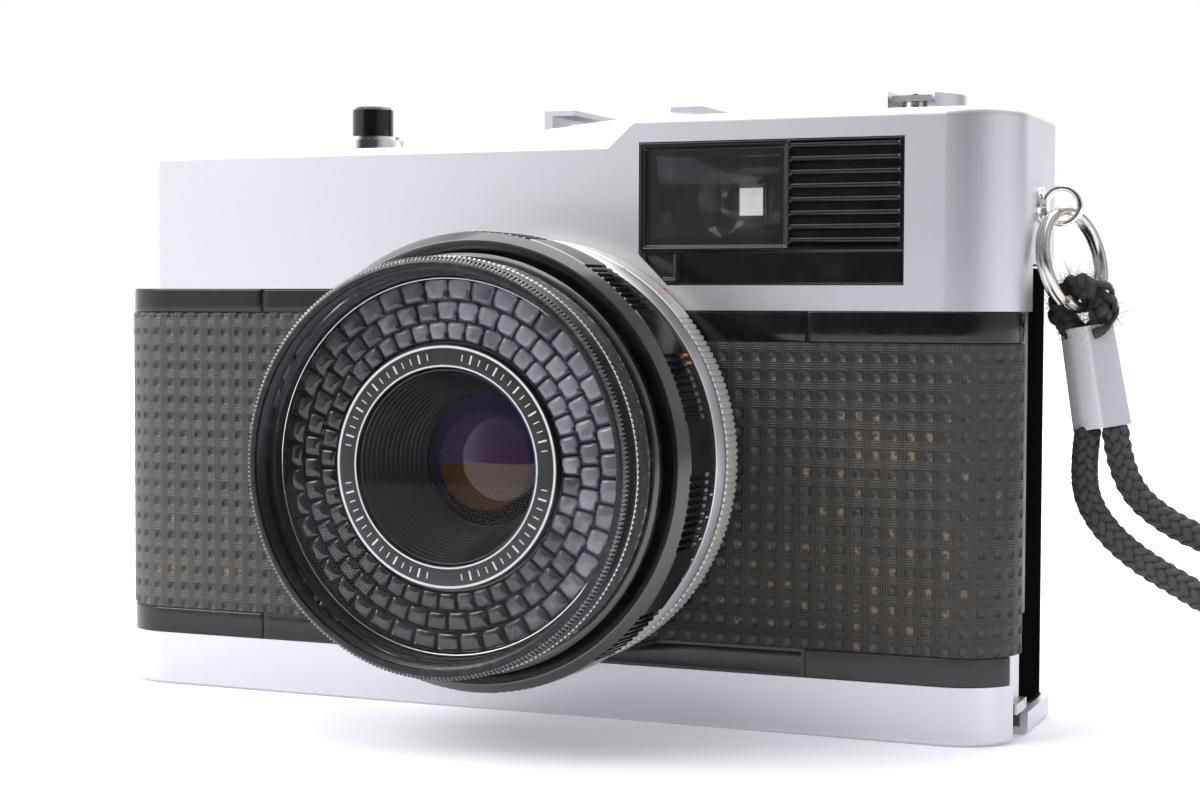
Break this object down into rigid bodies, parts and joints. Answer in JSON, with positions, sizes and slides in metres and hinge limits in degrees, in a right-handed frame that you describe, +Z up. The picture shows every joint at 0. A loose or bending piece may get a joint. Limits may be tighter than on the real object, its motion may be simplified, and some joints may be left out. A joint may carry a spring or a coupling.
{
  "type": "compact 35 mm viewfinder camera",
  "caption": "Compact film camera with a ring-shaped light meter round a short lens, an opening back, film transport, rewind crank and a cord wrist strap.",
  "frame": {"origin": "centre of the tripod socket's mouth, in the base plane and straight below the lens axis", "axes": "+Z up, -Y out of the lens, +X towards the end that carries the strap and the rewind knob"},
  "size_m": [0.2316, 0.0596, 0.0734],
  "materials": {
    "satin_chrome": "satin",
    "gloss_black": "gloss",
    "leatherette": "pebbled, dirty",
    "black_metal": "semi-gloss",
    "matt_black": "matt",
    "optical_glass": "coated",
    "clear_plastic": "clear",
    "bright_steel": "polished",
    "brass": "plain",
    "cord_black": "braided",
    "steel": "plain",
    "ivory": "gloss"
  },
  "bodies": {
    "camera_body": {"accessory_shoe": "bright_steel", "body_casting": "black_metal", "bottom_cover": "satin_chrome", "case_screws": "bright_steel", "counter_window": "clear_plastic", "filter_glass": "optical_glass", "filter_ring": "black_metal", "finder_bezel": "gloss_black", "finder_eyepiece": "optical_glass", "finder_tunnel": "matt_black", "finder_windows": "optical_glass", "front_plate": "gloss_black", "front_trims": "gloss_black", "hinge_pin": "steel", "inner_elements": "optical_glass", "leatherette_left": "leatherette", "leatherette_right": "leatherette", "lens_barrel": "black_metal", "lens_front_ring": "black_metal", "meter_window": "clear_plastic", "name_ring": "black_metal", "release_collar": "satin_chrome", "selenium_cell": "matt_black", "shoe_contact": "matt_black", "shutter_housing": "matt_black", "strap_lugs": "bright_steel", "top_cover": "satin_chrome", "tripod_bush": "steel"},
    "shutter_release": {"shutter_button": "gloss_black", "release_spring": "steel"},
    "frame_counter": {"counter_dial": "matt_black"},
    "advance_wheel": {"advance_wheel": "gloss_black"},
    "takeup_spool": {"takeup_spool": "matt_black"},
    "film_sprocket": {"film_sprocket": "matt_black"},
    "rewind_slider": {"rewind_sleeve": "steel"},
    "rewind_knob": {"rewind_knob": "satin_chrome", "rewind_shaft": "steel"},
    "rewind_crank": {"rewind_crank": "bright_steel"},
    "crank_handle": {"crank_handle": "bright_steel"},
    "rewind_release": {"rewind_button": "steel"},
    "back_door": {"back_door": "black_metal", "door_leatherette": "leatherette", "plate_springs": "steel"},
    "pressure_plate": {"pressure_plate": "black_metal"},
    "door_latch": {"door_latch": "bright_steel", "latch_spring": "steel"},
    "aperture_ring": {"aperture_ring": "satin_chrome", "aperture_scale": "black_metal"},
    "focus_ring": {"focus_ring": "black_metal"},
    "asa_ring": {"asa_ring": "black_metal"},
    "front_cell": {"front_cell": "black_metal", "front_element": "optical_glass"},
    "shutter_blade_a": {"shutter_blade_a": "steel"},
    "shutter_blade_b": {"shutter_blade_b": "steel"},
    "aperture_blade_a": {"aperture_blade_a": "steel"},
    "aperture_blade_b": {"aperture_blade_b": "steel"},
    "strap": {"split_ring": "bright_steel", "strap_ferrule": "bright_steel", "strap_loop": "cord_black", "strap_cord": "cord_black"}
  },
  "joints": [
    {"name": "shutter_release", "type": "slide", "parent": "camera_body", "child": "shutter_release", "axis": [0, 0, -1], "range_m": [0, 0.0022], "stiffness_N_per_m": 400, "deforming": ["release_spring"]},
    {"name": "film_advance", "type": "hinge", "parent": "camera_body", "child": "advance_wheel", "pos_m": [-0.0455, 0.0078, 0.06], "axis": [0, 0, 1], "continuous": true},
    {"name": "spool_turn", "type": "hinge", "parent": "camera_body", "child": "takeup_spool", "pos_m": [-0.044, -0.0015, 0.03], "axis": [0, 0, 1], "continuous": true},
    {"name": "sprocket_turn", "type": "hinge", "parent": "camera_body", "child": "film_sprocket", "pos_m": [-0.028, 0.003, 0.03], "axis": [0, 0, 1], "continuous": true},
    {"name": "counter_turn", "type": "hinge", "parent": "camera_body", "child": "frame_counter", "pos_m": [-0.0455, 0, 0.065], "axis": [0, 0, 1], "continuous": true},
    {"name": "rewind_pull", "type": "slide", "parent": "camera_body", "child": "rewind_slider", "axis": [0, 0, 1], "range_m": [0, 0.006]},
    {"name": "rewind_turn", "type": "hinge", "parent": "rewind_slider", "child": "rewind_knob", "pos_m": [0.0412, -0.0002, 0.071], "axis": [0, 0, 1], "continuous": true},
    {"name": "crank_fold", "type": "hinge", "parent": "rewind_knob", "child": "rewind_crank", "pos_m": [0.0423, 0.0043, 0.072], "axis": [-1, 0, 0], "range_deg": [0, 172]},
    {"name": "crank_handle_spin", "type": "hinge", "parent": "rewind_crank", "child": "crank_handle", "pos_m": [0.0423, -0.0038, 0.072], "axis": [0, 0, 1], "continuous": true},
    {"name": "rewind_release", "type": "slide", "parent": "camera_body", "child": "rewind_release", "axis": [0, 0, 1], "range_m": [0, 0.0015], "stiffness_N_per_m": 200},
    {"name": "back_door", "type": "hinge", "parent": "camera_body", "child": "back_door", "pos_m": [-0.0576, 0.0123, 0.028], "axis": [0, 0, 1], "range_deg": [0, 110]},
    {"name": "pressure_plate", "type": "slide", "parent": "back_door", "child": "pressure_plate", "axis": [0, 1, 0], "range_m": [0, 0.0008], "stiffness_N_per_m": 500, "deforming": ["plate_springs"]},
    {"name": "door_latch", "type": "slide", "parent": "camera_body", "child": "door_latch", "axis": [0, 0, -1], "range_m": [0, 0.0025], "stiffness_N_per_m": 300, "deforming": ["latch_spring"]},
    {"name": "aperture_ring", "type": "hinge", "parent": "camera_body", "child": "aperture_ring", "pos_m": [0, -0.0175, 0.0309], "axis": [0, -1, 0], "range_deg": [0, 100]},
    {"name": "focus_ring", "type": "hinge", "parent": "camera_body", "child": "focus_ring", "pos_m": [0, -0.025, 0.0309], "axis": [0, -1, 0], "range_deg": [0, 80]},
    {"name": "asa_ring", "type": "hinge", "parent": "camera_body", "child": "asa_ring", "pos_m": [0, -0.032, 0.0309], "axis": [0, -1, 0], "range_deg": [0, 75]},
    {"name": "front_cell_focus", "type": "slide", "parent": "camera_body", "child": "front_cell", "axis": [0, -1, 0], "range_m": [0, 0.0008]},
    {"name": "shutter_blade_a", "type": "hinge", "parent": "camera_body", "child": "shutter_blade_a", "pos_m": [-0.003, -0.0105, 0.0194], "axis": [0, -1, 0], "range_deg": [0, 32]},
    {"name": "shutter_blade_b", "type": "hinge", "parent": "camera_body", "child": "shutter_blade_b", "pos_m": [0.003, -0.0102, 0.0194], "axis": [0, -1, 0], "range_deg": [-32, 0]},
    {"name": "aperture_blade_a", "type": "hinge", "parent": "camera_body", "child": "aperture_blade_a", "pos_m": [-0.006, -0.0089, 0.0424], "axis": [0, -1, 0], "range_deg": [-14, 0]},
    {"name": "aperture_blade_b", "type": "hinge", "parent": "camera_body", "child": "aperture_blade_b", "pos_m": [0.006, -0.0085, 0.0424], "axis": [0, -1, 0], "range_deg": [0, 14]},
    {"name": "strap_swing", "type": "hinge", "parent": "camera_body", "child": "strap", "pos_m": [0.0584, 0.0005, 0.0598], "axis": [0, -1, 0], "range_deg": [0, 80]}
  ],
  "couplings": [
    {"joint": "spool_turn", "follows": "film_advance", "ratio": -0.85714},
    {"joint": "sprocket_turn", "follows": "film_advance", "ratio": -0.85714},
    {"joint": "counter_turn", "follows": "film_advance", "ratio": 0.0625},
    {"joint": "front_cell_focus", "follows": "focus_ring", "m_per_rad": 0.00057239},
    {"joint": "shutter_blade_b", "follows": "shutter_blade_a", "ratio": -1},
    {"joint": "aperture_blade_a", "follows": "aperture_ring", "ratio": -0.14},
    {"joint": "aperture_blade_b", "follows": "aperture_ring", "ratio": 0.14}
  ]
}
